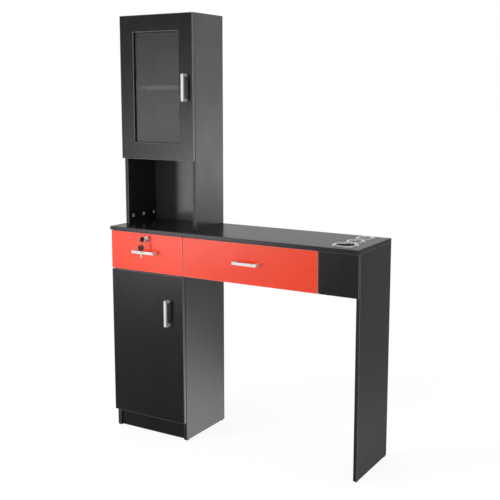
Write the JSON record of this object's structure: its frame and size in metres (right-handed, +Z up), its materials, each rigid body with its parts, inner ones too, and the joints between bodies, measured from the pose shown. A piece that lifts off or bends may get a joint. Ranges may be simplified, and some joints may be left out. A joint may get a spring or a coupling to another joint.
{
  "type": "salon styling station",
  "caption": "Black and red salon styling station: glazed upper cabinet, niche, locking drawer, wide drawer and worktop on an end panel.",
  "frame": {"origin": "on the floor, below the middle of the width and the middle of the depth over all", "axes": "+X to the right end panel, -Y to the front, +Z up"},
  "size_m": [1.1, 0.3386, 1.7],
  "materials": {
    "black_board": "satin",
    "red_board": "satin",
    "hardboard": "matte",
    "satin_steel": "satin",
    "polished_steel": "polished",
    "zinc": "satin",
    "black_plastic": "matte",
    "clear_plastic": "satin",
    "glass": "clear"
  },
  "bodies": {
    "carcass": {"base_left_side": "black_board", "base_right_side": "black_board", "base_floor": "black_board", "base_plinth": "black_board", "drawer_board": "black_board", "base_shelf": "black_board", "base_back": "hardboard", "worktop": "black_board", "end_panel": "black_board", "filler_panel": "black_board", "holder_partition": "black_board", "rear_apron": "black_board", "upper_left_side": "black_board", "upper_right_side": "black_board", "upper_top": "black_board", "upper_floor": "black_board", "upper_shelf": "black_board", "upper_back": "hardboard", "wall_rail": "black_board", "front_tool_holder": "polished_steel", "small_tool_holders": "polished_steel", "floor_glides": "black_plastic", "cam_locks": "zinc", "cam_bolts": "satin_steel", "shelf_pins": "satin_steel", "bumpers": "clear_plastic", "hinge_plates": "zinc", "hinge_arms": "zinc", "cabinet_rails": "satin_steel"},
    "upper_links": {"upper_hinge_links": "zinc"},
    "upper_door": {"upper_door_frame": "black_board", "upper_door_glass": "glass", "glass_bead": "black_plastic", "upper_door_handle": "satin_steel", "upper_hinge_cups": "zinc"},
    "base_links": {"base_hinge_links": "zinc"},
    "base_door": {"base_door_panel": "black_board", "base_door_handle": "satin_steel", "base_hinge_cups": "zinc"},
    "left_drawer": {"left_drawer_front": "red_board", "left_drawer_box": "black_board", "left_drawer_bottom": "hardboard", "left_drawer_handle": "satin_steel", "left_drawer_rails": "satin_steel", "lock_body": "polished_steel"},
    "left_middle": {"left_middle_rails": "satin_steel"},
    "left_outer_cage": {"left_outer_cages": "zinc"},
    "left_inner_cage": {"left_inner_cages": "zinc"},
    "wide_drawer": {"wide_drawer_front": "red_board", "wide_drawer_box": "black_board", "wide_drawer_bottom": "hardboard", "wide_drawer_handle": "satin_steel", "wide_drawer_rails": "satin_steel"},
    "wide_middle": {"wide_middle_rails": "satin_steel"},
    "wide_outer_cage": {"wide_outer_cages": "zinc"},
    "wide_inner_cage": {"wide_inner_cages": "zinc"},
    "lock": {"lock_plug": "zinc", "lock_key": "black_plastic"},
    "keys": {"key_ring": "polished_steel", "spare_key": "black_plastic"}
  },
  "joints": [
    {"name": "upper_link_turn", "type": "hinge", "parent": "carcass", "child": "upper_links", "pos_m": [-0.518, -0.02666, 1.41375], "axis": [0, 0, 1], "range_deg": [0, 30]},
    {"name": "upper_door_turn", "type": "hinge", "parent": "upper_links", "child": "upper_door", "pos_m": [-0.541, -0.03566, 1.41375], "axis": [0, 0, -1], "range_deg": [0, 130]},
    {"name": "base_link_turn", "type": "hinge", "parent": "carcass", "child": "base_links", "pos_m": [-0.518, -0.10666, 0.3785], "axis": [0, 0, 1], "range_deg": [0, 30]},
    {"name": "base_door_turn", "type": "hinge", "parent": "base_links", "child": "base_door", "pos_m": [-0.541, -0.11566, 0.3785], "axis": [0, 0, -1], "range_deg": [0, 130]},
    {"name": "left_drawer_slide", "type": "slide", "parent": "carcass", "child": "left_drawer", "axis": [0, -1, 0], "range_m": [0, 0.25]},
    {"name": "left_middle_slide", "type": "slide", "parent": "carcass", "child": "left_middle", "axis": [0, -1, 0], "range_m": [0, 0.125]},
    {"name": "left_outer_cage_slide", "type": "slide", "parent": "carcass", "child": "left_outer_cage", "axis": [0, -1, 0], "range_m": [0, 0.0625]},
    {"name": "left_inner_cage_slide", "type": "slide", "parent": "carcass", "child": "left_inner_cage", "axis": [0, -1, 0], "range_m": [0, 0.1875]},
    {"name": "wide_drawer_slide", "type": "slide", "parent": "carcass", "child": "wide_drawer", "axis": [0, -1, 0], "range_m": [0, 0.25]},
    {"name": "wide_middle_slide", "type": "slide", "parent": "carcass", "child": "wide_middle", "axis": [0, -1, 0], "range_m": [0, 0.125]},
    {"name": "wide_outer_cage_slide", "type": "slide", "parent": "carcass", "child": "wide_outer_cage", "axis": [0, -1, 0], "range_m": [0, 0.0625]},
    {"name": "wide_inner_cage_slide", "type": "slide", "parent": "carcass", "child": "wide_inner_cage", "axis": [0, -1, 0], "range_m": [0, 0.1875]},
    {"name": "lock_turn", "type": "hinge", "parent": "left_drawer", "child": "lock", "pos_m": [-0.37325, -0.12766, 0.818], "axis": [0, -1, 0], "range_deg": [0, 90]},
    {"name": "key_swing", "type": "hinge", "parent": "lock", "child": "keys", "pos_m": [-0.37325, -0.16016, 0.818], "axis": [-1, 0, 0], "range_deg": [0, 75]}
  ],
  "couplings": [
    {"joint": "upper_link_turn", "follows": "upper_door_turn", "ratio": 0.23077},
    {"joint": "base_link_turn", "follows": "base_door_turn", "ratio": 0.23077},
    {"joint": "left_middle_slide", "follows": "left_drawer_slide", "ratio": 0.5},
    {"joint": "left_outer_cage_slide", "follows": "left_drawer_slide", "ratio": 0.25},
    {"joint": "left_inner_cage_slide", "follows": "left_drawer_slide", "ratio": 0.75},
    {"joint": "wide_middle_slide", "follows": "wide_drawer_slide", "ratio": 0.5},
    {"joint": "wide_outer_cage_slide", "follows": "wide_drawer_slide", "ratio": 0.25},
    {"joint": "wide_inner_cage_slide", "follows": "wide_drawer_slide", "ratio": 0.75}
  ]
}
